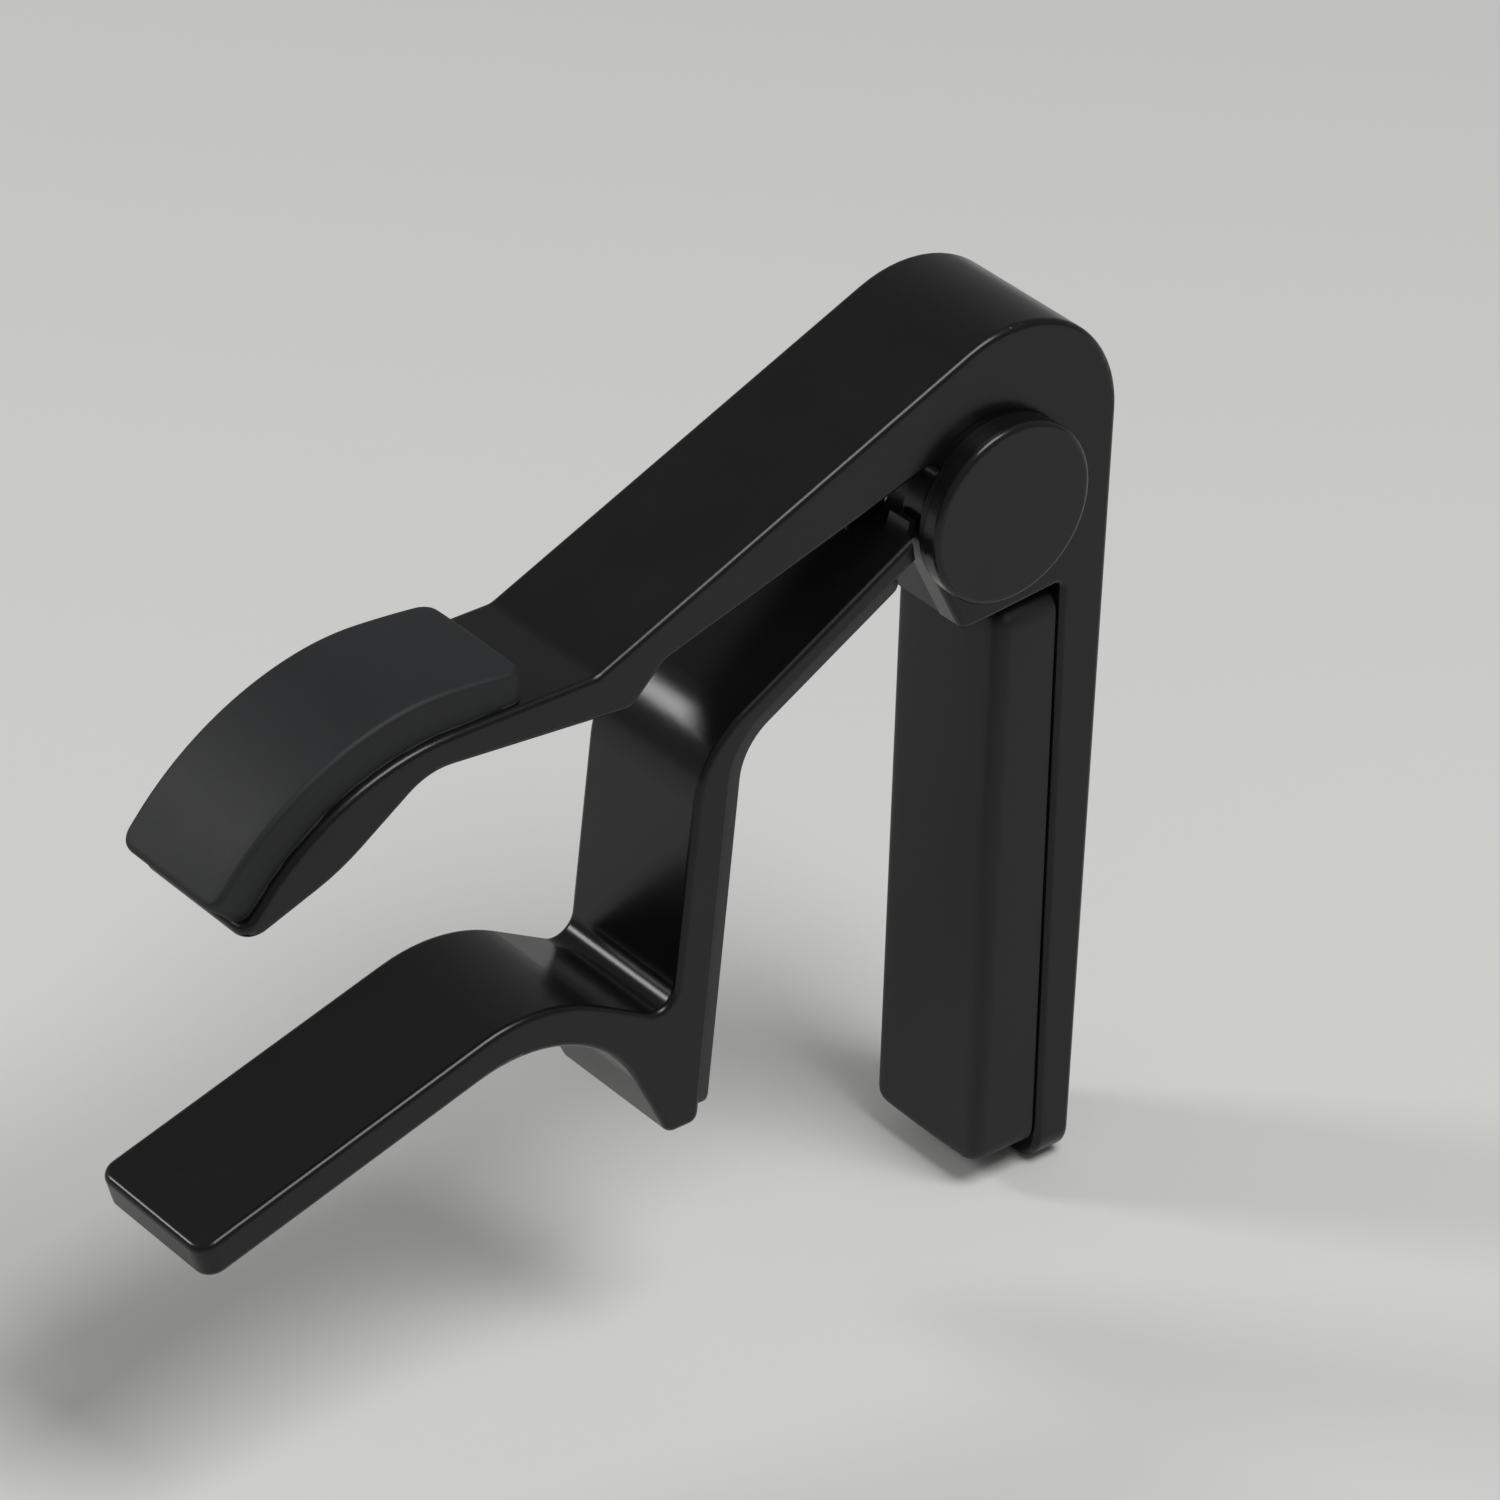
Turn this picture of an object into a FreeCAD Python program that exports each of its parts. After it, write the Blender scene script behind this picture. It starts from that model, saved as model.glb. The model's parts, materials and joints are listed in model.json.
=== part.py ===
import FreeCAD, Part
import math
import os

# Guitar capo, spring-clamp kind. All lengths in millimetres, all angles in degrees.
# Frame: +X along the guitar neck, +Y out of the fretboard, +Z up the fretboard pad towards the pivot.
# The outlines below are drawn round the pivot, at y = 0, z = 0; everything is moved by "to_row" at the end.

# ---- overall ----
body_width = 12.0
edge_round = 0.5
end_corner_round = 1.4
contact_face_y = 1.3
pad_top_z = -9.9
pad_length = 47.0

# ---- pivot ----
pin_radius = 2.5
run_fit = 0.05
bush_wall = 0.6
sleeve_wall = 0.7
ear_radius = 6.0
ear_clearance = 0.4
cheek_thickness = 2.3
washer_thickness = 0.25
washer_gap = 0.05
washer_radius = 4.9
ring_radius = 6.8
ring_thickness = 0.5
cap_radius = 6.9
cap_thickness = 1.5
cap_edge = 0.5
cap_back_groove = 0.12
pin_in_cap = 1.0
shoulder_gap = 0.4
web_gap = 0.3
web_wall = 0.6

# ---- spring ----
wire_diameter = 1.1
coil_gap = 0.05
coil_bore_room = 0.45
coil_side_room = 0.18
coil_back_room = 0.75
neck_leg_length = 7.2
bar_leg_length = 9.0
leg_side_room = 0.6
leg_end_room = 0.5

# ---- fretboard arm ----
crown_radius = 9.7
crown_y = 1.2
crown_z = 3.75
bar_slope = 23.8
bar_under_slope = 17.4
strip_top_z = -1.3
strip_root_thickness = 3.65
strip_waist_y = -48.1
strip_waist_thickness = 2.25
strip_waist_radius = 5.2
strip_belly_y = -55.2
strip_belly_slope = 35.0
strip_belly_radius = 16.0
strip_nose_slope = 20.4
strip_bend_start_y = -46.1
strip_bend_radius = 20.0
strip_drop = 50.0
strip_tail = 2.8
heel_y = -31.3
heel_round = 1.2
heel_hollow = 1.5
foot_y = -2.3
foot_z = -9.6
foot_round = 1.0
foot_back_z = -8.8
foot_hollow = 0.6
floor_setback = 0.35
cheek_hollow = 0.8
jaw_inner_y = 6.6
jaw_tip_inner_y = 7.2
jaw_tip_outer_y = 10.3
jaw_beyond_pad = 2.0
jaw_corner_round = 2.4

# ---- neck arm ----
arm_slope = 30.3
arm_above_pivot = 3.3
arm_thickness = 1.8
arm_run = 27.3
arm_knee_radius = 8.0
root_hollow = 2.5
plate_tilt = 5.2
plate_inner_tilt = 4.5
plate_thickness = 3.0
plate_run = 20.7
crotch_radius = 1.6
hump_y = -38.4
hump_rise = 28.5
hump_radius = 12.4
paddle_slope = 16.9
paddle_end_y = -67.0
paddle_thickness = 2.87
arch_y = -34.4
arch_z = -27.25
arch_radius = 11.5
arch_fall = 63.0
arm_tip_z = -41.3
arm_tip_round = 0.85
slot_reach = 8.45
slot_depth = 1.1

# ---- soft parts ----
grip_start_y = -39.55
grip_thickness = 3.1
grip_sink = 0.6
grip_inset = 0.7
grip_corner_round = 1.3
grip_edge_round = 0.6
grip_short = 0.85
pad_inset = 0.25
pad_edge_round = 1.1
pad_back_round = 0.35
pad_corner_round = 1.5
tongue_width = 4.4
tongue_depth = 1.5
tongue_short = 2.0
liner_thickness = 0.8
liner_start = 8.6
liner_inset = 0.1
liner_short = 1.0

# ---- sizes that follow ----
half_width = body_width / 2
wire_radius = wire_diameter / 2
coil_radius = pin_radius + sleeve_wall + coil_bore_room + wire_radius
coil_pitch = wire_diameter + coil_gap
seat_floor = arm_above_pivot - slot_depth
leg_reach = math.hypot(coil_radius - wire_radius, neck_leg_length)
leg_lean = math.atan2(neck_leg_length, coil_radius - wire_radius)
neck_leg_dive = math.degrees(math.acos(seat_floor / leg_reach) - leg_lean)
neck_leg_start = 90 + arm_slope + neck_leg_dive
bar_leg_start = 180.0
coil_turns = (neck_leg_start - bar_leg_start + 720) / 360
coil_space = coil_pitch * coil_turns + wire_diameter + 2 * coil_side_room
spring_shelf = coil_radius + wire_radius + coil_back_room
cheek_inner = half_width - cheek_thickness
ear_outer = cheek_inner - washer_thickness - washer_gap
ear_inner = coil_space / 2
pocket_radius = ear_radius + ear_clearance
shoulder_radius = max(cap_radius, pocket_radius) + shoulder_gap
web_inner = pocket_radius + web_gap
bush_bore = pin_radius + run_fit
bush_radius = bush_bore + bush_wall
pad_centre_z = pad_top_z - pad_length / 2
jaw_tip_z = pad_top_z - pad_length - jaw_beyond_pad
to_row = FreeCAD.Vector(0, -contact_face_y, -pad_centre_z)


def way(angle):
    turn = math.radians(angle)
    return (math.cos(turn), math.sin(turn))


def step(point, angle, distance):
    y, z = way(angle)
    return (point[0] + y * distance, point[1] + z * distance)


def meet(first, first_angle, second, second_angle):
    # crossing point of two straight lines, each given by a point and a direction
    ay, az = way(first_angle)
    by, bz = way(second_angle)
    wy = second[0] - first[0]
    wz = second[1] - first[1]
    reach = (wy * bz - wz * by) / (ay * bz - az * by)
    return step(first, first_angle, reach)


def spot(point, x=0.0):
    return FreeCAD.Vector(x, point[0], point[1])


def outline(corners):
    # closed wire through corner points (y, z, radius), each corner rounded to its radius
    edges = []
    ends = []
    count = len(corners)
    for index in range(count):
        before = spot(corners[index - 1])
        here = spot(corners[index])
        after = spot(corners[(index + 1) % count])
        radius = corners[index][2]
        back = (before - here).normalize()
        on = (after - here).normalize()
        half = back.getAngle(on) / 2
        if radius == 0:
            ends.append((here, here, None))
            continue
        reach = radius / math.tan(half)
        middle = here + (back + on).normalize() * (radius / math.sin(half) - radius)
        ends.append((here + back * reach, here + on * reach, middle))
    for index in range(count):
        start, finish, middle = ends[index]
        following = ends[(index + 1) % count][0]
        if middle is not None:
            edges.append(Part.Arc(start, middle, finish).toShape())
        if (following - finish).Length > 1e-6:
            edges.append(Part.LineSegment(finish, following).toShape())
    return Part.Wire(edges)


def slab(corners, x_low, x_high):
    face = Part.Face(outline(corners))
    face.translate(FreeCAD.Vector(x_low, 0, 0))
    return face.extrude(FreeCAD.Vector(x_high - x_low, 0, 0))


def sharp_edges(solid, keep=None):
    # edges where the two faces meet at an angle; "keep" may narrow the choice by the edge's middle point
    chosen = []
    for edge in solid.Edges:
        faces = solid.ancestorsOfType(edge, Part.Face)
        if len(faces) != 2:
            continue
        middle = edge.valueAt((edge.FirstParameter + edge.LastParameter) / 2)
        normals = []
        for face in faces:
            u, v = face.Surface.parameter(middle)
            normals.append(face.normalAt(u, v))
        bend = math.degrees(normals[0].getAngle(normals[1]))
        if bend > 8 and (keep is None or keep(middle)):
            chosen.append(edge)
    return chosen


def corner_cutters(end, angle, side, radius):
    # two cutters that round the plan corners of a strip ending at "end" and running in direction "angle"
    cutters = []
    for sign in (-1, 1):
        low = FreeCAD.Vector(side - radius, -radius, -20)
        block = Part.makeBox(radius + 1, radius + 1, 40, low)
        core = Part.makeCylinder(radius, 40, low, FreeCAD.Vector(0, 0, 1))
        cutter = block.cut(core)
        if sign < 0:
            cutter = cutter.mirror(FreeCAD.Vector(0, 0, 0), FreeCAD.Vector(1, 0, 0))
        cutter.rotate(FreeCAD.Vector(0, 0, 0), FreeCAD.Vector(1, 0, 0), angle)
        cutter.translate(spot(end))
        cutters.append(cutter)
    return cutters


def round_ends(solid, ends, side, radius):
    for end, angle in ends:
        for cutter in corner_cutters(end, angle, side, radius):
            solid = solid.cut(cutter)
    return solid


def drum(radius, x_low, x_high, centre=(0.0, 0.0)):
    along = FreeCAD.Vector(1, 0, 0)
    return Part.makeCylinder(radius, x_high - x_low, spot(centre, x_low), along)


def tube(outer, inner, x_low, x_high):
    return drum(outer, x_low, x_high).cut(drum(inner, x_low, x_high))


def both_sides(maker):
    # the same piece made on the near (+X) and the far (-X) side
    near = maker()
    far = near.mirror(FreeCAD.Vector(0, 0, 0), FreeCAD.Vector(1, 0, 0))
    return near, far


# ---- lines shared by the fretboard arm and its grip ----
bar_top_point = step((crown_y, crown_z), 90 + bar_slope, crown_radius)
jaw_outer_y = crown_y + crown_radius
crown_corner = meet(bar_top_point, bar_slope, (jaw_outer_y, 0), 90)
bar_corner = meet(bar_top_point, bar_slope, (0, strip_top_z), 0)
strip_tangent = strip_bend_radius * math.tan(math.radians(strip_drop / 2))
strip_corner = (strip_bend_start_y - strip_tangent, strip_top_z)
strip_way = 180 + strip_drop
strip_end = step(strip_corner, strip_way, strip_tangent + strip_tail)
strip_waist = (strip_waist_y, strip_top_z - strip_waist_thickness)
strip_belly = meet(strip_waist, 180 + strip_belly_slope, (strip_belly_y, 0), 90)
strip_nose = meet(strip_belly, 180 + strip_nose_slope, strip_end, strip_way + 90)
heel_corner = (heel_y, strip_top_z - strip_root_thickness)
under_point = step((0, 0), 90 + bar_under_slope, pocket_radius)
heel_top = meet(heel_corner, 45, under_point, bar_under_slope)


def beside_strip(lift):
    # bend corner and end point of a curve that runs "lift" above the handle strip
    fan = math.tan(math.radians(strip_drop / 2))
    corner = (strip_corner[0] - lift * fan, strip_corner[1] + lift)
    return corner, step(step(strip_end, strip_way, -grip_short), strip_way - 90, lift)


def lift_over_strip(point):
    # height of a point above the top of the handle strip
    centre = (strip_bend_start_y, strip_top_z - strip_bend_radius)
    if point.y > centre[0]:
        return point.z - strip_top_z
    tail = (point - spot(strip_end, point.x)).dot(spot(way(strip_way)))
    if tail > -strip_tail:
        return (point - spot(strip_end, point.x)).dot(spot(way(strip_way - 90)))
    return math.hypot(point.y - centre[0], point.z - centre[1]) - strip_bend_radius


def make_fretboard_arm(grip, pad):
    foot_angle = math.degrees(math.atan2(foot_z, foot_y)) % 360
    foot_reach = math.hypot(foot_y, foot_z)
    touch_angle = foot_angle - math.degrees(math.acos(pocket_radius / foot_reach))
    touch_point = step((0, 0), touch_angle, pocket_radius)
    hollow_angle = 90 + bar_under_slope + 2 * math.degrees(math.atan(math.sqrt(cheek_hollow / pocket_radius)))
    hollow_point = step((0, 0), hollow_angle, pocket_radius)
    cheek_top = meet(under_point, bar_under_slope, hollow_point, hollow_angle + 90)
    cheek_low = meet(hollow_point, hollow_angle + 90, touch_point, touch_angle + 90)
    corners = [
        (jaw_tip_outer_y, jaw_tip_z, 0),
        (crown_corner[0], crown_corner[1], crown_radius),
        (bar_corner[0], bar_corner[1], heel_hollow),
        (strip_corner[0], strip_corner[1], strip_bend_radius),
        (strip_end[0], strip_end[1], 0),
        (strip_nose[0], strip_nose[1], 0),
        (strip_belly[0], strip_belly[1], strip_belly_radius),
        (strip_waist[0], strip_waist[1], strip_waist_radius),
        (heel_corner[0], heel_corner[1], heel_round),
        (heel_top[0], heel_top[1], heel_hollow),
        (cheek_top[0], cheek_top[1], cheek_hollow),
        (cheek_low[0], cheek_low[1], pocket_radius),
        (foot_y, foot_z, foot_round),
        (jaw_inner_y, foot_back_z, foot_hollow),
        (jaw_tip_inner_y, jaw_tip_z, 0),
    ]
    arm = slab(corners, -half_width, half_width)
    arm = round_ends(arm, [(strip_end, strip_way)], half_width, end_corner_round)
    arm = round_ends(arm, [((jaw_outer_y, jaw_tip_z), 270)], half_width, jaw_corner_round)
    arm = arm.makeFillet(edge_round, sharp_edges(arm))

    # pocket between the two cheeks, open towards the neck arm, with a floor left at the foot
    pocket = drum(pocket_radius, -cheek_inner, cheek_inner)
    floor_top = step((0, 0), 240, pocket_radius)
    mouth = [
        (0, 0, 0),
        (under_point[0], under_point[1], 0),
        step(under_point, 180 + bar_under_slope, 9.0) + (0,),
        (-2 * pocket_radius, foot_z - 2, 0),
        (foot_y + floor_setback, foot_z - 2, 0),
        (foot_y + floor_setback, foot_z, 0),
        (floor_top[0], floor_top[1], 0),
    ]
    arm = arm.cut(pocket).cut(slab(mouth, -cheek_inner, cheek_inner))

    # slot in the bar for the spring's upright leg, which bears on the slot's jaw-side wall
    slot_low = FreeCAD.Vector(-ear_inner, -coil_radius - wire_radius - leg_side_room, 0)
    slot_width = wire_diameter + leg_side_room
    arm = arm.cut(Part.makeBox(coil_space, slot_width, bar_leg_length + leg_end_room, slot_low))

    arm = arm.cut(drum(pin_radius, -half_width, half_width))
    arm = arm.cut(grip).cut(pad)
    return arm


def make_grip():
    top_corner, top_end = beside_strip(grip_thickness)
    low_corner, low_end = beside_strip(-grip_sink)
    corners = [
        (grip_start_y, strip_top_z + grip_thickness, 0),
        (top_corner[0], top_corner[1], strip_bend_radius + grip_thickness),
        (top_end[0], top_end[1], 0),
        (low_end[0], low_end[1], 0),
        (low_corner[0], low_corner[1], strip_bend_radius - grip_sink),
        (grip_start_y, strip_top_z - grip_sink, 0),
    ]
    side = half_width - grip_inset
    grip = slab(corners, -side, side)
    ends = [((grip_start_y, strip_top_z), 0), (top_end, strip_way)]
    grip = round_ends(grip, ends, side, grip_corner_round)
    outer = sharp_edges(grip, lambda point: lift_over_strip(point) > grip_thickness - 0.05)
    return grip.makeFillet(grip_edge_round, outer)


def make_fretboard_pad():
    low_z = pad_top_z - pad_length
    lean = (jaw_tip_inner_y - jaw_inner_y) / (jaw_tip_z - foot_back_z)
    back_top = jaw_inner_y + lean * (pad_top_z - foot_z)
    back_low = jaw_inner_y + lean * (low_z - foot_z)
    side = half_width - pad_inset
    corners = [
        (contact_face_y, pad_top_z, 0),
        (contact_face_y, low_z, 0),
        (back_low, low_z, 0),
        (back_top, pad_top_z, 0),
    ]
    pad = slab(corners, -side, side)
    ends = [((contact_face_y, pad_top_z), 90), ((contact_face_y, low_z), 270)]
    pad = round_ends(pad, ends, side, pad_corner_round)
    pad = pad.makeFillet(pad_edge_round, sharp_edges(pad, lambda point: point.y < contact_face_y + 0.01))
    pad = pad.makeFillet(pad_back_round, sharp_edges(pad, lambda point: point.y > back_top - 0.01))
    tongue = [
        (back_top - 1.0, pad_top_z - tongue_short, 0),
        (back_top + tongue_depth, pad_top_z - tongue_short, 0),
        (back_low + tongue_depth, low_z + tongue_short, 0),
        (back_low - 1.0, low_z + tongue_short, 0),
    ]
    return pad.fuse(slab(tongue, -tongue_width / 2, tongue_width / 2)).removeSplitter()


# ---- lines shared by the neck arm and its liner ----
arm_way = 180 + arm_slope


def arm_point(run, height):
    # a point on the arm: "run" outwards along it, "height" above a line through the pivot
    return step(step((0, 0), arm_way, run), arm_way - 90, height)


knee_outer = arm_point(arm_run, arm_above_pivot)
plate_way = 270 - plate_tilt
plate_inner_way = 270 - plate_inner_tilt
arm_under = arm_point(0, arm_above_pivot - arm_thickness)
plate_inner_point = step(knee_outer, plate_way + 90, plate_thickness)
knee_inner = meet(arm_under, arm_way, plate_inner_point, plate_inner_way)
arm_tip_inner = meet(knee_inner, plate_inner_way, (0, arm_tip_z), 0)
knee_inner_radius = arm_knee_radius - arm_thickness - 0.7


def root_web(radius, x_low, x_high):
    # hollow fillet that runs from the top of the arm onto a drum of this radius round the pivot
    height = arm_above_pivot + root_hollow
    run = math.sqrt((radius + root_hollow) ** 2 - height ** 2)
    centre = arm_point(run, height)
    angle = math.degrees(math.atan2(centre[1], centre[0]))
    wedge = [
        arm_point(run, arm_above_pivot - 0.5) + (0,),
        arm_point(run, arm_above_pivot) + (0,),
        centre + (0,),
        step((0, 0), angle, radius) + (0,),
        step((0, 0), angle, radius - 2.0) + (0,),
    ]
    return slab(wedge, x_low, x_high).cut(drum(root_hollow, x_low, x_high, centre))


def make_neck_arm():
    crotch = step(knee_outer, plate_way, plate_run)
    hump = meet(crotch, 180 - hump_rise, (hump_y, 0), 90)
    paddle_way = 180 + paddle_slope
    paddle_end = meet(hump, paddle_way, (paddle_end_y, 0), 90)
    paddle_end_under = step(paddle_end, paddle_way + 90, paddle_thickness)
    arch = meet(paddle_end_under, paddle_way, (arch_y, arch_z), 270 + 90 - arch_fall)
    tip_outer = meet(arch, 360 - arch_fall, (0, arm_tip_z), 0)
    root_low = arm_point(0, arm_above_pivot - arm_thickness)
    root_high = arm_point(0, arm_above_pivot)
    corners = [
        (root_high[0], root_high[1], 0),
        (knee_outer[0], knee_outer[1], arm_knee_radius),
        (crotch[0], crotch[1], crotch_radius),
        (hump[0], hump[1], hump_radius),
        (paddle_end[0], paddle_end[1], 0),
        (paddle_end_under[0], paddle_end_under[1], 0),
        (arch[0], arch[1], arch_radius),
        (tip_outer[0], tip_outer[1], arm_tip_round),
        (arm_tip_inner[0], arm_tip_inner[1], arm_tip_round),
        (knee_inner[0], knee_inner[1], knee_inner_radius),
        (root_low[0], root_low[1], 0),
    ]
    arm = slab(corners, -half_width, half_width)
    arm = round_ends(arm, [(paddle_end, paddle_way)], half_width, end_corner_round)
    arm = arm.makeFillet(edge_round, sharp_edges(arm, lambda point: point.y < -ear_radius))

    # full width stops at a round shoulder outside the cheeks; the ears go on between them
    for low, high in ((-half_width - 1, -ear_outer), (ear_outer, half_width + 1)):
        arm = arm.cut(drum(shoulder_radius, low, high))
    arm = arm.cut(drum(spring_shelf, -ear_inner, ear_inner))
    for low, high in ((-ear_outer, -ear_inner), (ear_inner, ear_outer)):
        arm = arm.fuse(drum(ear_radius, low, high)).fuse(root_web(ear_radius, low, high))
    side = half_width - edge_round
    for low, high in ((-side, -ear_outer), (ear_outer, side)):
        web = root_web(web_inner + web_wall, low, high)
        arm = arm.fuse(web.cut(drum(web_inner, low, high)))

    # seat for the spring's other leg, sunk into the top of the arm
    seat = [
        arm_point(0, seat_floor) + (0,),
        arm_point(slot_reach, seat_floor) + (0,),
        arm_point(slot_reach, arm_above_pivot + 3) + (0,),
        arm_point(0, arm_above_pivot + 3) + (0,),
    ]
    arm = arm.cut(slab(seat, -ear_inner, ear_inner))
    return arm.cut(drum(bush_radius, -half_width, half_width)).removeSplitter()


def make_liner():
    # thin sheet bonded to the neck side of the arm
    start = arm_point(liner_start, arm_above_pivot - arm_thickness)
    start_face = arm_point(liner_start, arm_above_pivot - arm_thickness - liner_thickness)
    end = step(arm_tip_inner, plate_inner_way, -liner_short)
    end_face = step(end, plate_inner_way + 90, liner_thickness)
    face_knee = meet(start_face, arm_way, end_face, plate_inner_way)
    corners = [
        (start[0], start[1], 0),
        (knee_inner[0], knee_inner[1], knee_inner_radius),
        (end[0], end[1], 0),
        (end_face[0], end_face[1], liner_thickness / 2),
        (face_knee[0], face_knee[1], knee_inner_radius - liner_thickness),
        (start_face[0], start_face[1], liner_thickness / 2),
    ]
    side = half_width - liner_inset
    return slab(corners, -side, side)


def make_cap():
    back = half_width + ring_thickness
    cap = drum(cap_radius, back, back + cap_thickness)
    rims = []
    for edge in cap.Edges:
        if abs(edge.BoundBox.XMin - back - cap_thickness) < 1e-4 and edge.BoundBox.XLength < 1e-4:
            rims.append(edge)
    cap = cap.makeFillet(cap_edge, rims)
    groove = tube(cap_radius + 1, cap_radius - cap_back_groove, back, back + cap_back_groove)
    return cap.cut(groove).cut(drum(pin_radius, back, back + pin_in_cap))


def make_ring():
    return tube(ring_radius, pin_radius, half_width, half_width + ring_thickness)


def make_washer():
    return tube(washer_radius, pin_radius, ear_outer + washer_gap, cheek_inner)


def make_bush():
    return tube(bush_radius, bush_bore, ear_inner, ear_outer)


def make_pin():
    end = half_width + ring_thickness + pin_in_cap
    return drum(pin_radius, -end, end)


def make_sleeve():
    room = ear_inner - washer_gap
    return tube(pin_radius + sleeve_wall, pin_radius, -room, room)


def make_spring():
    # close-wound coil about the pin: one leg lies in the neck arm's seat, the other stands in the bar's slot
    climb = coil_pitch * coil_turns
    low_x = -climb / 2
    helix = Part.makeLongHelix(coil_pitch, climb, coil_radius, 0, True)
    helix.rotate(FreeCAD.Vector(0, 0, 0), FreeCAD.Vector(0, 1, 0), 90)
    first = helix.Edges[0].valueAt(helix.Edges[0].FirstParameter)
    turn = neck_leg_start - math.degrees(math.atan2(first.z, first.y))
    helix.rotate(FreeCAD.Vector(0, 0, 0), FreeCAD.Vector(1, 0, 0), turn)
    helix.translate(FreeCAD.Vector(low_x, 0, 0))
    neck_start = step((0, 0), neck_leg_start, coil_radius)
    neck_root = spot(neck_start, low_x)
    neck_end = spot(step(neck_start, neck_leg_start + 90, neck_leg_length), low_x)
    bar_root = spot((-coil_radius, 0), -low_x)
    bar_end = spot((-coil_radius, bar_leg_length), -low_x)
    edges = [Part.LineSegment(neck_end, neck_root).toShape()]
    edges += helix.Edges
    edges.append(Part.LineSegment(bar_root, bar_end).toShape())
    path = Part.Wire(Part.__sortEdges__(edges))
    along = (neck_root - neck_end).normalize()
    section = Part.Wire(Part.makeCircle(wire_radius, neck_end, along))
    return path.makePipeShell([section], True, False)


grip = make_grip()
pad = make_fretboard_pad()
cap_near, cap_far = both_sides(make_cap)
ring_near, ring_far = both_sides(make_ring)
washer_near, washer_far = both_sides(make_washer)
bush_near, bush_far = both_sides(make_bush)

parts = {
    "fretboard_arm": make_fretboard_arm(grip, pad),
    "neck_arm": make_neck_arm(),
    "handle_grip": grip,
    "fretboard_pad": pad,
    "neck_liner": make_liner(),
    "pivot_pin": make_pin(),
    "pivot_cap_near": cap_near,
    "pivot_cap_far": cap_far,
    "cap_ring_near": ring_near,
    "cap_ring_far": ring_far,
    "thrust_washer_near": washer_near,
    "thrust_washer_far": washer_far,
    "ear_bush_near": bush_near,
    "ear_bush_far": bush_far,
    "torsion_spring": make_spring(),
    "spring_sleeve": make_sleeve(),
}

os.makedirs("parts", exist_ok=True)
for name, shape in parts.items():
    placed = shape.copy()
    placed.translate(to_row)
    placed.exportStep("parts/" + name + ".step")
    print(name, "solids", len(placed.Solids), "volume", round(placed.Volume, 1), "ok", placed.isValid())
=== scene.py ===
import json
import math

import bmesh
import bpy
from mathutils import Matrix, Vector


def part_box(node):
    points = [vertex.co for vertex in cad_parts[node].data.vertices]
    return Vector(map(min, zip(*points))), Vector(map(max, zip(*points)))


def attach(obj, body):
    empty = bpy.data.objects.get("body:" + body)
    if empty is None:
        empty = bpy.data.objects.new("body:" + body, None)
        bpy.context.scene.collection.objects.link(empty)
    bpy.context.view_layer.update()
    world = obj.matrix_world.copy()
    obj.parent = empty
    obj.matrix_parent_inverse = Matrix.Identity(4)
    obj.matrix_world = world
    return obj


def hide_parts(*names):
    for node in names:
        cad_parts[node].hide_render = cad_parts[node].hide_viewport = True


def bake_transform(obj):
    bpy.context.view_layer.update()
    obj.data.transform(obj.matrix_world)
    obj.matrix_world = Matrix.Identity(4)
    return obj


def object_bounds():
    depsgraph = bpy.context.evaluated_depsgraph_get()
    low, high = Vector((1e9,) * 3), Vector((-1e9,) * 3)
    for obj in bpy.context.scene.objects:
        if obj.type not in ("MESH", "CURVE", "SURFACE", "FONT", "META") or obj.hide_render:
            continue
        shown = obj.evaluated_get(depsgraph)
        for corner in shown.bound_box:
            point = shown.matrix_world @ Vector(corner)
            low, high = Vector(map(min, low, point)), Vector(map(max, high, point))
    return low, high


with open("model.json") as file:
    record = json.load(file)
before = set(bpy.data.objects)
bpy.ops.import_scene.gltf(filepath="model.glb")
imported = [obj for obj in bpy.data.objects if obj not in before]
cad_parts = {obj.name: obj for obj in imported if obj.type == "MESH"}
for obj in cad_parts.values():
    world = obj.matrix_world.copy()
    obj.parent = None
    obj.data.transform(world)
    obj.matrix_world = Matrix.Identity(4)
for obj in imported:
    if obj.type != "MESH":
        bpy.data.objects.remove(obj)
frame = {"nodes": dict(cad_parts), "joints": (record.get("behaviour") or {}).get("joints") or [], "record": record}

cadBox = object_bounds()
mm = 0.001
degree = math.pi / 180
fullTurn = 2 * math.pi
quarterTurn = math.pi / 2
noiseMiddle = 0.5  # noise runs from 0 to 1 about this
pivot = Vector(frame["joints"][0]["pos_m"])
frameSide = "fretboard_side"
neckSide = "neck_side"
print("frame loaded:", len(frame["nodes"]), "nodes")


class Wire:  # one socket of a shader or geometry tree, usable in plain sums
    def __init__(self, tree, socket=None):
        self.tree = tree
        self.socket = socket

    def node(self, kind, settings=None, inputs=None, output=0):
        made = self.tree.nodes.new(kind)
        for key, value in (settings or {}).items():
            setattr(made, key, value)
        for key, value in (inputs or {}).items():
            if isinstance(value, Wire):
                self.tree.links.new(value.socket, made.inputs[key])
            else:
                made.inputs[key].default_value = value
        return Wire(self.tree, made.outputs[output])

    def maths(self, operation, first, second=0.0):
        return self.node("ShaderNodeMath", {"operation": operation}, {0: first, 1: second})

    def __add__(self, other):
        return self.maths("ADD", self, other)

    def __sub__(self, other):
        return self.maths("SUBTRACT", self, other)

    def __mul__(self, other):
        return self.maths("MULTIPLY", self, other)

    def __truediv__(self, other):
        return self.maths("DIVIDE", self, other)

    def __rsub__(self, other):
        return self.maths("SUBTRACT", other, self)

    def __rtruediv__(self, other):
        return self.maths("DIVIDE", other, self)

    __radd__ = __add__
    __rmul__ = __mul__


def limited(wire, low=0.0, high=1.0):
    return wire.maths("MINIMUM", wire.maths("MAXIMUM", wire, low), high)


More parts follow.
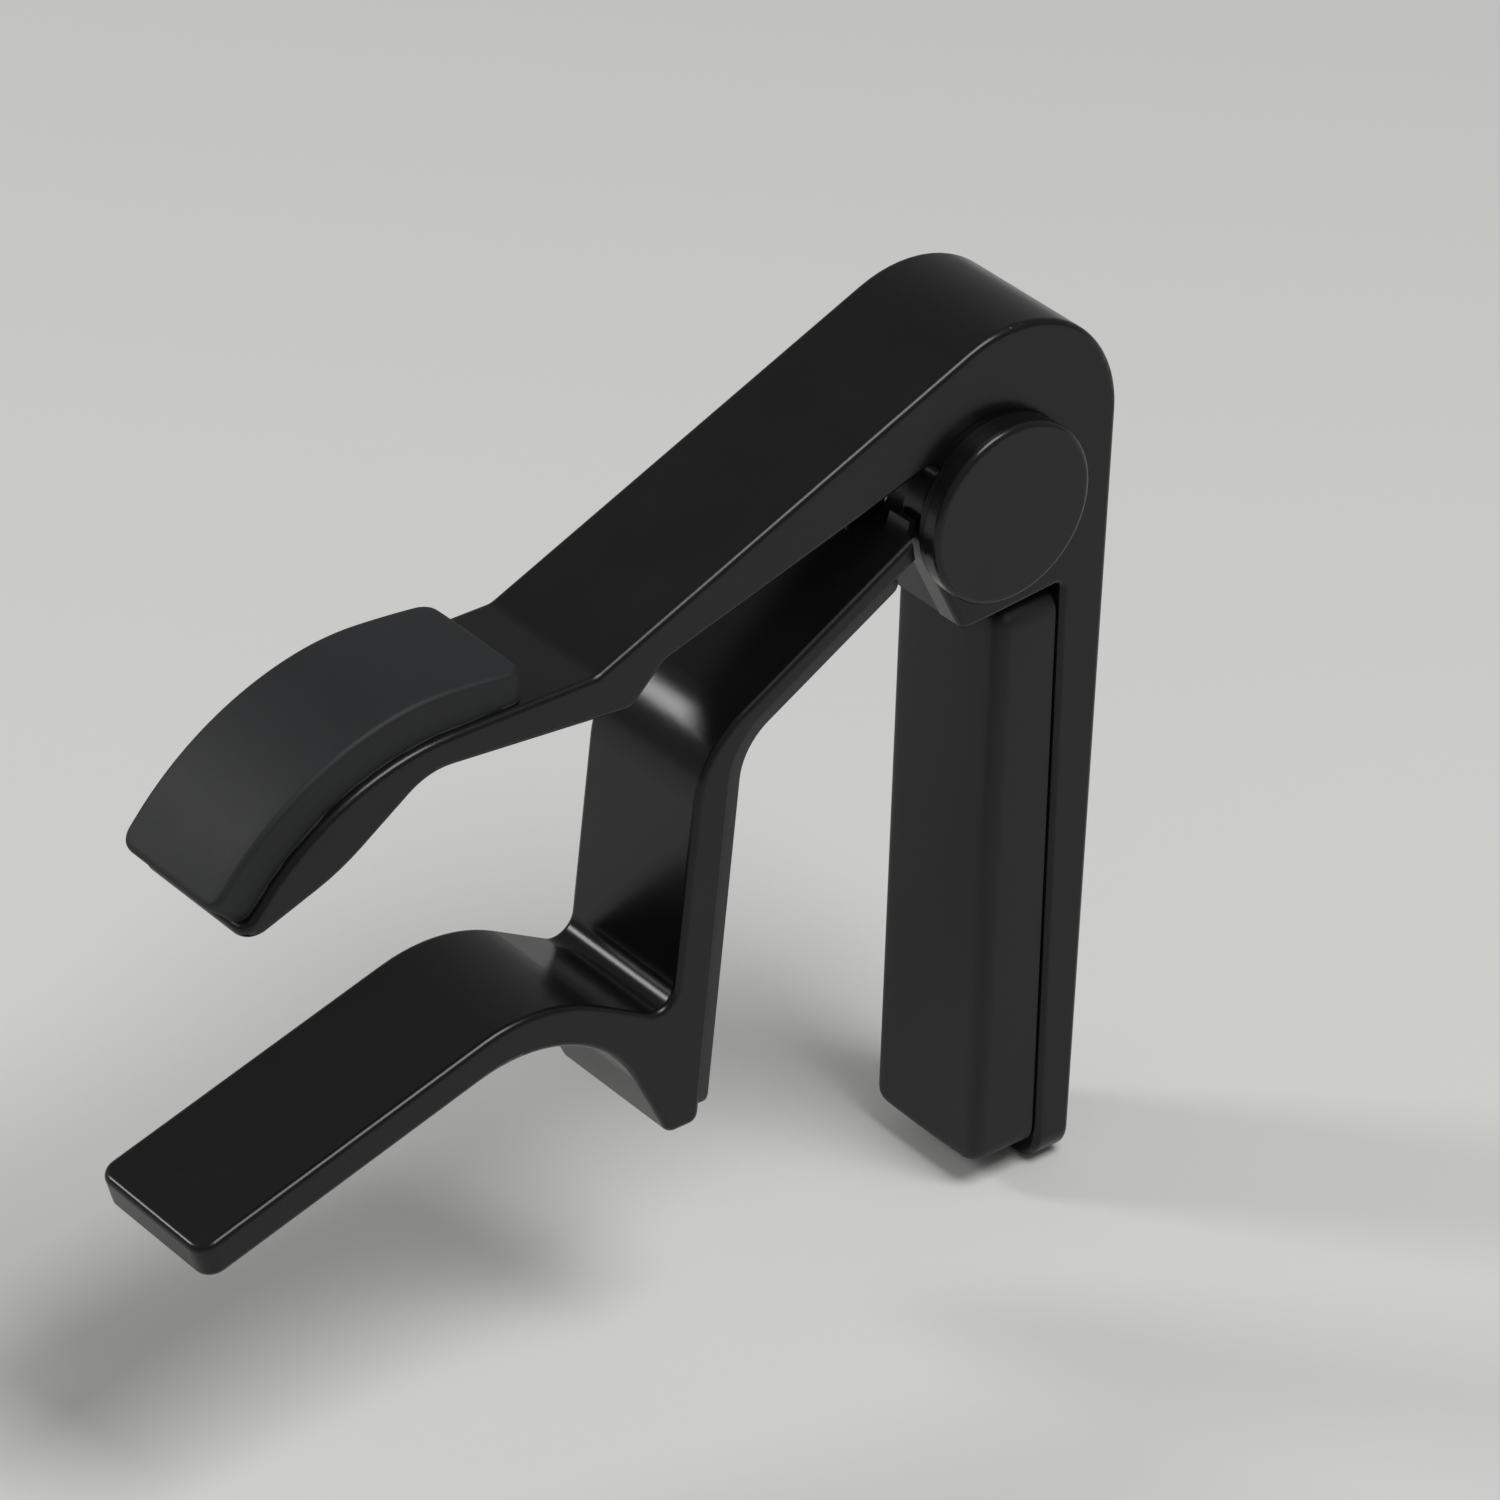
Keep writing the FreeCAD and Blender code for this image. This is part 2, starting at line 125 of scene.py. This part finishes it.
def newMaterial(name):
    material = bpy.data.materials.new(name)
    material.use_nodes = True
    tree = material.node_tree
    shader = tree.nodes["Principled BSDF"]
    return material, Wire(tree), shader


def objectPoint(start):
    return start.node("ShaderNodeTexCoord", output=3)  # output 3 is Object


def noise(start, point, size, detail=2.0, rough=0.5):
    # size is the width of one blotch in millimetres
    values = {"Vector": point, "Scale": 1 / (size * mm), "Detail": detail, "Roughness": rough}
    return start.node("ShaderNodeTexNoise", {}, values)


def cells(start, point, size):
    # distance from the middle of the nearest cell, with cells about size millimetres apart
    return start.node("ShaderNodeTexVoronoi", {}, {"Vector": point, "Scale": 1 / (size * mm)})


def mixed(start, factor, first, second):
    # 6, 7 and output 2 are the colour sockets of a Mix node
    return start.node("ShaderNodeMix", {"data_type": "RGBA"}, {0: factor, 6: first, 7: second}, 2)


def bumped(start, height, depth, below=None):
    # depth is how far full height stands out, in millimetres
    values = {"Height": height, "Distance": depth * mm, "Strength": 1.0}
    if below is not None:
        values["Normal"] = below
    return start.node("ShaderNodeBump", {}, values)


def join(start, wire, shader, name):
    start.tree.links.new(wire.socket, shader.inputs[name])


def joinSurface(start, shader, look, rough, coarse, coarseDepth, grain):
    # roughness that never reaches a mirror, and a fine grain on top of a coarser bump
    join(start, limited(rough, look["roughLowest"]), shader, "Roughness")
    soft = bumped(start, coarse, coarseDepth)
    join(start, bumped(start, grain, look["grainDepth"], below=soft), shader, "Normal")
    shader.inputs["Specular IOR Level"].default_value = look["gloss"]


def makePaint(name, look):
    # satin powder coat: soft orange peel, fine grain, small cloudy changes of gloss, a few specks of dust
    material, start, shader = newMaterial(name)
    point = objectPoint(start)
    cloud = noise(start, point, look["cloudSize"], detail=3.0)
    peel = noise(start, point, look["peelSize"], detail=1.0)
    grain = noise(start, point, look["grainSize"], detail=2.0, rough=0.6)
    dust = limited((look["speckShare"] - cells(start, point, look["speckSize"])) * look["speckEdge"])
    clouded = limited(cloud * look["cloudContrast"] - look["cloudShift"])
    shade = mixed(start, clouded, look["dark"], look["light"])
    join(start, mixed(start, dust * look["speckStrength"], shade, look["dust"]), shader, "Base Color")
    swing = (cloud - noiseMiddle) * look["roughCloud"]
    rough = look["rough"] + swing + (grain - noiseMiddle) * look["roughGrain"]
    joinSurface(start, shader, look, rough, peel, look["peelDepth"], grain)
    return material


castingPaint = {
    "dark": (0.0036, 0.0037, 0.0040, 1), "light": (0.0052, 0.0053, 0.0056, 1),
    "dust": (0.08, 0.08, 0.08, 1), "speckSize": 1.6, "speckShare": 0.035, "speckEdge": 30.0,
    "speckStrength": 0.30, "cloudSize": 6.0, "cloudContrast": 2.2, "cloudShift": 0.6,
    "peelSize": 0.55, "peelDepth": 0.0035, "grainSize": 0.09, "grainDepth": 0.0012,
    "rough": 0.24, "roughCloud": 0.05, "roughGrain": 0.07, "roughLowest": 0.05, "gloss": 0.30,
}
capPaint = dict(
    castingPaint, dark=(0.0060, 0.0061, 0.0064, 1), light=(0.0078, 0.0080, 0.0083, 1), rough=0.22,
)
ringPaint = dict(castingPaint, rough=0.38, speckStrength=0.1)


def makeSilicone(name, look):
    # matt moulded rubber: very fine grain, faint cloudiness, a little clinging lint
    material, start, shader = newMaterial(name)
    point = objectPoint(start)
    cloud = noise(start, point, look["cloudSize"], detail=3.0)
    grain = noise(start, point, look["grainSize"], detail=3.0, rough=0.65)
    ripple = noise(start, point, look["rippleSize"], detail=1.0)
    lint = limited((look["lintShare"] - cells(start, point, look["lintSize"])) * look["lintEdge"])
    clouded = cloud * look["cloudContrast"] - look["cloudShift"]
    tint = limited(clouded + (grain - noiseMiddle) * look["grainTint"])
    shade = mixed(start, tint, look["dark"], look["light"])
    join(start, mixed(start, lint * look["lintStrength"], shade, look["lint"]), shader, "Base Color")
    swing = (cloud - noiseMiddle) * look["roughCloud"]
    rough = look["rough"] + swing + (grain - noiseMiddle) * look["roughGrain"]
    joinSurface(start, shader, look, rough, ripple, look["rippleDepth"], grain)
    shader.inputs["Sheen Weight"].default_value = look["sheen"]
    shader.inputs["Sheen Roughness"].default_value = look["sheenRough"]
    return material


gripRubber = {
    "dark": (0.0078, 0.0084, 0.0094, 1), "light": (0.0108, 0.0117, 0.0130, 1),
    "lint": (0.07, 0.07, 0.07, 1), "lintSize": 1.3, "lintShare": 0.03, "lintEdge": 25.0,
    "lintStrength": 0.35, "cloudSize": 7.0, "cloudContrast": 1.8, "cloudShift": 0.4, "grainTint": 0.9,
    "grainSize": 0.11, "grainDepth": 0.006, "rippleSize": 2.5, "rippleDepth": 0.012,
    "rough": 0.58, "roughCloud": 0.08, "roughGrain": 0.12, "roughLowest": 0.05,
    "gloss": 0.34, "sheen": 0.02, "sheenRough": 0.5,
}
padRubber = dict(
    gripRubber, dark=(0.0070, 0.0072, 0.0076, 1), light=(0.0098, 0.0100, 0.0106, 1), rough=0.54,
)
linerRubber = dict(
    gripRubber, dark=(0.022, 0.023, 0.025, 1), light=(0.030, 0.031, 0.033, 1), rough=0.55,
)


def makeTurned(name, look):
    # bright metal with fine lines round the pivot's axis: turned rings on the pin, drawn lines on the coil
    material, start, shader = newMaterial(name)
    point = objectPoint(start)
    stretched = start.node("ShaderNodeMapping", {}, {"Vector": point, "Scale": look["stretch"]})
    lines = noise(start, stretched, look["lineSize"], detail=2.0, rough=0.7)
    cloud = noise(start, point, look["cloudSize"], detail=2.0)
    tint = lines * look["lineShare"] + cloud * (1 - look["lineShare"])
    join(start, mixed(start, tint, look["dark"], look["light"]), shader, "Base Color")
    join(start, look["rough"] + (lines - noiseMiddle) * look["roughLines"], shader, "Roughness")
    join(start, bumped(start, lines, look["lineDepth"]), shader, "Normal")
    shader.inputs["Metallic"].default_value = 1.0
    return material


pinSteel = {
    "dark": (0.42, 0.42, 0.43, 1), "light": (0.60, 0.60, 0.61, 1), "rough": 0.30, "roughLines": 0.18,
    "lineSize": 0.10, "lineDepth": 0.002, "lineShare": 0.7, "stretch": (1.0, 0.06, 0.06), "cloudSize": 3.0,
}
springSteel = dict(
    pinSteel, dark=(0.24, 0.23, 0.22, 1), light=(0.42, 0.41, 0.40, 1), rough=0.34,
    lineSize=0.08, stretch=(1.0, 0.25, 0.25),
)


def makeNylon(name, look):
    # natural moulded nylon, faintly cloudy, with a fine grain
    material, start, shader = newMaterial(name)
    point = objectPoint(start)
    cloud = noise(start, point, look["cloudSize"], detail=3.0)
    grain = noise(start, point, look["grainSize"], detail=2.0)
    join(start, mixed(start, cloud, look["dark"], look["light"]), shader, "Base Color")
    join(start, look["rough"] + (grain - noiseMiddle) * look["roughGrain"], shader, "Roughness")
    join(start, bumped(start, grain, look["grainDepth"]), shader, "Normal")
    return material


bearingNylon = {
    "dark": (0.50, 0.48, 0.43, 1), "light": (0.60, 0.58, 0.53, 1), "rough": 0.45, "roughGrain": 0.15,
    "cloudSize": 2.0, "grainSize": 0.15, "grainDepth": 0.003,
}

finishes = {
    "black_paint": makePaint("castingPaint", castingPaint),
    "cap_paint": makePaint("capPaint", capPaint),
    "ring_paint": makePaint("ringPaint", ringPaint),
    "grip_silicone": makeSilicone("gripSilicone", gripRubber),
    "pad_silicone": makeSilicone("padSilicone", padRubber),
    "liner_silicone": makeSilicone("linerSilicone", linerRubber),
    "steel": makeTurned("pinSteel", pinSteel),
    "spring_steel": makeTurned("springSteel", springSteel),
    "nylon": makeNylon("bearingNylon", bearingNylon),
}
nodeFinish = {part["node"]: part["material_slot"] for part in frame["record"]["subparts"]}
for nodeName, cadObject in frame["nodes"].items():
    for materialSlot in cadObject.material_slots:
        materialSlot.material = finishes[nodeFinish[nodeName]]
print("finishes:", len(finishes))


def newObject(name, mesh, finish):
    made = bpy.data.objects.new(name, mesh)
    bpy.context.scene.collection.objects.link(made)
    if finish is not None:
        mesh.materials.clear()
        mesh.materials.append(finishes[finish])
    return made


shading = {"sharpAngle": 40.0, "weld": 0.002}


def smoothShade(mesh):
    # smooth faces, with the edges that really are corners kept crisp
    work = bmesh.new()
    work.from_mesh(mesh)
    bmesh.ops.remove_doubles(work, verts=work.verts, dist=shading["weld"] * mm)
    bmesh.ops.recalc_face_normals(work, faces=work.faces)
    for face in work.faces:
        face.smooth = True
    for edge in work.edges:
        edge.smooth = edge.calc_face_angle(0.0) < math.radians(shading["sharpAngle"])
    work.to_mesh(mesh)
    work.free()


def geometryTree(name, inputs):
    # an empty Geometry Nodes tree with named number inputs; returns it with a wire for each input
    tree = bpy.data.node_groups.new(name, "GeometryNodeTree")
    tree.interface.new_socket("Geometry", in_out="OUTPUT", socket_type="NodeSocketGeometry")
    tree.interface.new_socket("Geometry", in_out="INPUT", socket_type="NodeSocketGeometry")
    for label in inputs:
        tree.interface.new_socket(label, in_out="INPUT", socket_type="NodeSocketFloat")
    entry = tree.nodes.new("NodeGroupInput")
    wires = {label: Wire(tree, entry.outputs[label]) for label in ["Geometry"] + list(inputs)}
    return tree, wires


def closeTree(geometry, finish):
    # every tree ends the same way
    real = geometry.node("GeometryNodeRealizeInstances", {}, {"Geometry": geometry})
    paint = {"Geometry": real, "Material": finishes[finish]}
    painted = geometry.node("GeometryNodeSetMaterial", {}, paint)
    leave = geometry.tree.nodes.new("NodeGroupOutput")
    geometry.tree.links.new(painted.socket, leave.inputs["Geometry"])


def runTree(name, base, tree, inputs, finish):
    # run the tree on a base mesh and keep the result as a plain mesh
    carrier = bpy.data.objects.new(name + "Carrier", base)
    bpy.context.scene.collection.objects.link(carrier)
    modifier = carrier.modifiers.new("shape", "NODES")
    modifier.node_group = tree
    for item in tree.interface.items_tree:
        if item.in_out == "INPUT" and item.name in inputs:
            modifier[item.identifier] = float(inputs[item.name])
    graph = bpy.context.evaluated_depsgraph_get()
    mesh = bpy.data.meshes.new_from_object(carrier.evaluated_get(graph))
    bpy.data.objects.remove(carrier)
    mesh.name = name
    smoothShade(mesh)
    return newObject(name, mesh, finish)


def mouldedBlank(size):
    # a closed rubber block laid out flat: x across, y along from 0, z up from its seat
    long = size["length"] * mm
    half = size["width"] / 2 * mm
    corner = size["cornerRound"] * mm
    edge = size["edgeRound"] * mm
    top = size["height"] * mm
    steps = size["cornerSteps"]
    stations = []
    for index in range(steps):
        stations.append(corner * (1 - math.cos(quarterTurn * index / steps)))
    middle = size["lengthSteps"]
    for index in range(middle + 1):
        stations.append(corner + (long - 2 * corner) * index / middle)
    stations += [long - place for place in reversed(stations[:steps])]
    work = bmesh.new()
    rings = []
    for place in stations:
        near = min(place, long - place)
        cut = max(corner - near, 0.0)
        side = half - corner + math.sqrt(max(corner ** 2 - cut ** 2, 0.0))
        dip = max(edge - near, 0.0)
        roof = top - edge + math.sqrt(max(edge ** 2 - dip ** 2, 0.0))
        outline = [(side - size["footInset"] * mm, 0.0), (side, size["footInset"] * mm)]
        arc = size["edgeSteps"]
        for index in range(arc + 1):
            turn = quarterTurn * index / arc
            rise = (roof - top + edge) * math.sin(turn)
            outline.append((side - edge * (1 - math.cos(turn)), top - edge + rise))
        across = size["topSteps"]
        for index in range(1, across):
            outline.append(((side - edge) * (1 - index / across), roof))
        full = outline + [(0.0, roof)] + [(-x, z) for x, z in reversed(outline)]
        crown = size["crown"] * mm
        fade = max(1 - place / (size["slopeReach"] * mm), 0.0)
        lean = size["endSlope"] * mm * fade
        sink = size["endDrop"] * mm * fade ** 2
        ring = []
        for x, z in full:
            drop = crown * (x / half) ** 2 + sink
            ring.append(work.verts.new((x, place + lean * z / top, z - drop * z / top)))
        rings.append(ring)
    count = len(rings[0])
    for first, second in zip(rings, rings[1:]):
        for index in range(count):
            after = (index + 1) % count
            work.faces.new((first[index], first[after], second[after], second[index]))
    work.faces.new(rings[0])
    work.faces.new(list(reversed(rings[-1])))
    mesh = bpy.data.meshes.new("blank")
    work.to_mesh(mesh)
    work.free()
    return mesh


gripSize = {
    "length": 26.2, "width": 10.6, "height": 3.7,
    "cornerRound": 1.3, "edgeRound": 0.45, "footInset": 0.05,
    "crown": 0.08, "endSlope": 0.25, "endDrop": 0.75, "slopeReach": 11.0,
    "cornerSteps": 8, "lengthSteps": 40, "edgeSteps": 6, "topSteps": 6,
}
gripPath = {
    "Start Angle": 180.0, "Start To Bend": 6.55, "Bend Radius": 20.0, "Drop": 50.0,
    "Centre Y": -46.1, "Centre Z": -21.3, "Seat Depth": 0.6, "Side": 1.0,
}


def wrapTree(name, path, finish):
    # lays a flat blank along a strip: straight, then round one bend, then straight again
    tree, wire = geometryTree(name, list(path))
    start = wire["Geometry"]
    place = start.node("GeometryNodeInputPosition")
    x, along, height = [place.node("ShaderNodeSeparateXYZ", {}, {0: place}, axis) for axis in range(3)]
    radius = wire["Bend Radius"] * mm
    reach = radius + (height - wire["Seat Depth"] * mm) * wire["Side"]
    along = along - wire["Start To Bend"] * mm
    turn = limited(along / radius, 0.0, wire["Drop"] * degree)
    rest = along - turn * radius
    angle = (wire["Start Angle"] - 90) * degree + turn
    sine = angle.maths("SINE", angle)
    cosine = angle.maths("COSINE", angle)
    y = wire["Centre Y"] * mm + reach * cosine - rest * sine + pivot.y
    z = wire["Centre Z"] * mm + reach * sine + rest * cosine + pivot.z
    bent = start.node("ShaderNodeCombineXYZ", {}, {0: x, 1: y, 2: z})
    closeTree(start.node("GeometryNodeSetPosition", {}, {"Geometry": start, "Position": bent}), finish)
    return tree


gripTree = wrapTree("wrapOnStrip", gripPath, "grip_silicone")
grip = runTree("gripSleeve", mouldedBlank(gripSize), gripTree, gripPath, "grip_silicone")
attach(grip, frameSide)
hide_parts("handle_grip")
print("grip:", len(grip.data.polygons), "faces")


flashSize = {
    "Thread": 0.10, "Unevenness": 3.6, "Thinnest": 0.25, "Thickest": 2.2, "Blotch": 1.6, "Stray": 0.10,
}
flashLine = {"lift": 0.62, "inset": 0.02, "spacing": 0.35, "cornerSteps": 6, "sides": 6}


def flashLoop():
    # the closed line where the grip meets the metal, laid out flat
    half = gripSize["width"] / 2 - flashLine["inset"]
    low = flashLine["inset"]
    high = gripSize["length"] - flashLine["inset"]
    corner = gripSize["cornerRound"]
    centres = [(half - corner, high - corner), (corner - half, high - corner),
               (corner - half, low + corner), (half - corner, low + corner)]
    line = []
    for index, (x, y) in enumerate(centres):
        for step in range(flashLine["cornerSteps"] + 1):
            turn = quarterTurn * (index + step / flashLine["cornerSteps"])
            across, along = corner * math.cos(turn), corner * math.sin(turn)
            line.append(Vector((x + across, y + along, flashLine["lift"])))
    points = []
    for here, after in zip(line, line[1:] + line[:1]):
        pieces = max(int((after - here).length / flashLine["spacing"]), 1)
        points += [here.lerp(after, piece / pieces) * mm for piece in range(pieces)]
    mesh = bpy.data.meshes.new("flashLoop")
    mesh.from_pydata(points, [(index, (index + 1) % len(points)) for index in range(len(points))], [])
    return mesh


def flashTree():
    # an uneven thread of rubber squeezed out along the joint
    tree, wire = geometryTree("squeezedThread", list(flashSize))
    start = wire["Geometry"]
    place = start.node("GeometryNodeInputPosition")
    blotch = wire["Blotch"] * mm
    values = {"Vector": place, "Scale": 1.0 / blotch, "Detail": 2.0}
    lumps = start.node("ShaderNodeTexNoise", {}, values)
    stray = start.node("ShaderNodeTexNoise", {}, values, 1)
    middle = (noiseMiddle,) * 3
    centred = start.node("ShaderNodeVectorMath", {"operation": "SUBTRACT"}, {0: stray, 1: middle})
    reach = {0: centred, "Scale": wire["Stray"] * mm}
    shift = start.node("ShaderNodeVectorMath", {"operation": "SCALE"}, reach)
    moved = start.node("GeometryNodeSetPosition", {}, {"Geometry": start, "Offset": shift})
    path = start.node("GeometryNodeMeshToCurve", {}, {"Mesh": moved})
    uneven = 1.0 + (lumps - noiseMiddle) * wire["Unevenness"]
    thickness = limited(uneven, wire["Thinnest"], wire["Thickest"])
    circle = {"Resolution": flashLine["sides"], "Radius": wire["Thread"] * mm}
    section = start.node("GeometryNodeCurvePrimitiveCircle", {}, circle)
    sweep = {"Curve": path, "Profile Curve": section, "Scale": thickness}
    closeTree(start.node("GeometryNodeCurveToMesh", {}, sweep), "grip_silicone")
    return tree


bentLoop = runTree("bentLoop", flashLoop(), gripTree, gripPath, "grip_silicone")
flash = runTree("gripFlash", bentLoop.data, flashTree(), flashSize, "grip_silicone")
bpy.data.objects.remove(bentLoop)
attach(flash, frameSide)
print("flash line:", len(flash.data.polygons), "faces")


padSize = {
    "length": 47.0, "width": 11.5, "height": 5.31,
    "cornerRound": 1.5, "edgeRound": 1.1, "footInset": 0.3,
    "crown": 0.12, "endSlope": 0.0, "endDrop": 0.0, "slopeReach": 5.0, "lean": 0.012,
    "cornerSteps": 8, "lengthSteps": 30, "edgeSteps": 7, "topSteps": 8,
}


def makePad():
    low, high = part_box("fretboard_pad")
    mesh = mouldedBlank(padSize)
    height = padSize["height"] * mm
    for vertex in mesh.vertices:  # the back follows the jaw, which leans away towards its tip
        x, along, up = vertex.co
        deep = height - up
        seat = deep / height
        vertex.co = (x, low.y + deep + seat * padSize["lean"] * along, high.z - along)
    smoothShade(mesh)
    return newObject("padBlock", mesh, "pad_silicone")


pad = makePad()
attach(pad, frameSide)
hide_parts("fretboard_pad")
print("pad:", len(pad.data.polygons), "faces")


linerSize = {
    "length": 44.95, "width": 11.8, "height": 1.05,
    "cornerRound": 1.0, "edgeRound": 0.3, "footInset": 0.02,
    "crown": 0.0, "endSlope": 0.0, "endDrop": 0.0, "slopeReach": 5.0,
    "cornerSteps": 6, "lengthSteps": 80, "edgeSteps": 5, "topSteps": 6,
}
linerPath = {
    "Start Angle": 210.3, "Start To Bend": 13.42, "Bend Radius": 5.5, "Drop": 55.2,
    "Centre Y": -16.996, "Centre Z": -14.565, "Seat Depth": 0.25, "Side": -1.0,
}
linerTree = wrapTree("bondedSheet", linerPath, "liner_silicone")
liner = runTree("bondedLiner", mouldedBlank(linerSize), linerTree, linerPath, "liner_silicone")
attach(liner, neckSide)
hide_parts("neck_liner")
print("liner:", len(liner.data.polygons), "faces")


springSize = {
    "Coil Radius": 4.2, "Wire Radius": 0.55, "Pitch": 1.15, "Turns": 1.865,
    "Start Angle": 131.37, "Neck Leg": 7.2, "Bar Leg": 9.0,
}
springLine = {"points": 220, "sides": 18}


def springTree():
    # straight leg, close coil about the pivot, straight leg, all from one line of points
    tree, wire = geometryTree("woundSpring", list(springSize))
    start = wire["Geometry"]
    radius = wire["Coil Radius"] * mm
    coilLength = wire["Turns"] * radius * fullTurn
    neckLeg = wire["Neck Leg"] * mm
    total = neckLeg + coilLength + wire["Bar Leg"] * mm
    line = start.node("GeometryNodeCurvePrimitiveLine")
    points = start.node("GeometryNodeResampleCurve", {}, {"Curve": line, "Count": springLine["points"]})
    place = start.node("GeometryNodeInputIndex") / (springLine["points"] - 1.0) * total
    share = limited((place - neckLeg) / coilLength, 0.0, 1.0)
    beyond = place.maths("MAXIMUM", place - neckLeg - coilLength, 0.0)
    before = place.maths("MAXIMUM", neckLeg - place, 0.0)
    straight = beyond - before
    angle = wire["Start Angle"] * degree - share * wire["Turns"] * fullTurn
    sine = angle.maths("SINE", angle)
    cosine = angle.maths("COSINE", angle)
    x = (share - 0.5) * wire["Pitch"] * wire["Turns"] * mm  # the coil's middle is the pivot's
    y = radius * cosine + straight * sine + pivot.y
    z = radius * sine - straight * cosine + pivot.z
    spot = start.node("ShaderNodeCombineXYZ", {}, {0: x, 1: y, 2: z})
    path = start.node("GeometryNodeSetPosition", {}, {"Geometry": points, "Position": spot})
    circle = {"Resolution": springLine["sides"], "Radius": wire["Wire Radius"] * mm}
    section = start.node("GeometryNodeCurvePrimitiveCircle", {}, circle)
    sweep = {"Curve": path, "Profile Curve": section, "Fill Caps": True}
    closeTree(start.node("GeometryNodeCurveToMesh", {}, sweep), "spring_steel")
    return tree


spring = runTree("woundSpring", bpy.data.meshes.new("empty"), springTree(), springSize, "spring_steel")
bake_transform(spring)
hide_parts("torsion_spring")
print("spring:", len(spring.data.polygons), "faces")


studio = {
    "floorColour": (0.66, 0.66, 0.65, 1), "floorDrop": 0.05, "floorSize": 4000.0,
    "grainSize": 0.6, "grainShade": 0.985, "floorRough": 0.9, "floorGloss": 0.1, "sky": 0.27,
}
softboxes = {
    "overhead": {"toward": (0.42, 0.10, 0.90), "distance": 700.0, "size": (330.0, 330.0), "power": 3.5},
    "leftStrip": {"toward": (-0.65, -0.55, 0.50), "distance": 600.0, "size": (110.0, 150.0), "power": 1.0},
}
view = {
    "aim": (6.0, -22.4, 21.4), "distance": 524.5, "azimuth": 50.14, "elevation": 32.62, "roll": 1.83,
    "lens": 186.3, "film": 36.0, "nearClip": 10.0,
}


def makeFloor():
    low = cadBox[0].z - studio["floorDrop"] * mm
    half = studio["floorSize"] / 2 * mm
    mesh = bpy.data.meshes.new("floor")
    corners = [(-half, -half, low), (half, -half, low), (half, half, low), (-half, half, low)]
    mesh.from_pydata(corners, [], [(0, 1, 2, 3)])
    material, start, shader = newMaterial("floorPaper")
    grain = noise(start, objectPoint(start), studio["grainSize"])
    pale = studio["floorColour"]
    darker = tuple(value * studio["grainShade"] for value in pale[:3]) + (1,)
    join(start, mixed(start, grain, pale, darker), shader, "Base Color")
    shader.inputs["Roughness"].default_value = studio["floorRough"]
    shader.inputs["Specular IOR Level"].default_value = studio["floorGloss"]
    mesh.materials.append(material)
    floor = newObject("floor", mesh, None)


def makeSky():
    world = bpy.data.worlds.new("studioSky")
    bpy.context.scene.world = world
    world.use_nodes = True
    sky = world.node_tree.nodes["Background"]
    sky.inputs["Color"].default_value = (1, 1, 1, 1)
    sky.inputs["Strength"].default_value = studio["sky"]


def makeSoftboxes():
    for name, box in softboxes.items():
        lamp = bpy.data.lights.new(name, "AREA")
        lamp.shape = "RECTANGLE"
        lamp.size = box["size"][0] * mm
        lamp.size_y = box["size"][1] * mm
        lamp.energy = box["power"]
        made = bpy.data.objects.new(name, lamp)
        bpy.context.scene.collection.objects.link(made)
        aim = Vector(view["aim"]) * mm
        place = aim + Vector(box["toward"]).normalized() * box["distance"] * mm
        facing = (place - aim).to_track_quat("Z", "Y").to_matrix().to_4x4()
        made.matrix_world = Matrix.Translation(place) @ facing


def makeCamera():
    lens = bpy.data.cameras.new("camera")
    lens.sensor_width = view["film"]
    lens.lens = view["lens"]
    lens.clip_start = view["nearClip"] * mm
    made = bpy.data.objects.new("camera", lens)
    bpy.context.scene.collection.objects.link(made)
    turned = Matrix.Rotation(math.radians(view["azimuth"]), 4, "Z")
    tilted = Matrix.Rotation(math.radians(90 - view["elevation"]), 4, "X")
    rolled = Matrix.Rotation(math.radians(view["roll"]), 4, "Z")
    facing = turned @ tilted @ rolled
    back = facing.to_3x3() @ Vector((0, 0, 1))
    place = Vector(view["aim"]) * mm + back * view["distance"] * mm
    made.matrix_world = Matrix.Translation(place) @ facing
    bpy.context.scene.camera = made


makeFloor()
makeSky()
makeSoftboxes()
makeCamera()
bpy.context.scene.view_settings.view_transform = "Standard"
print("studio ready")
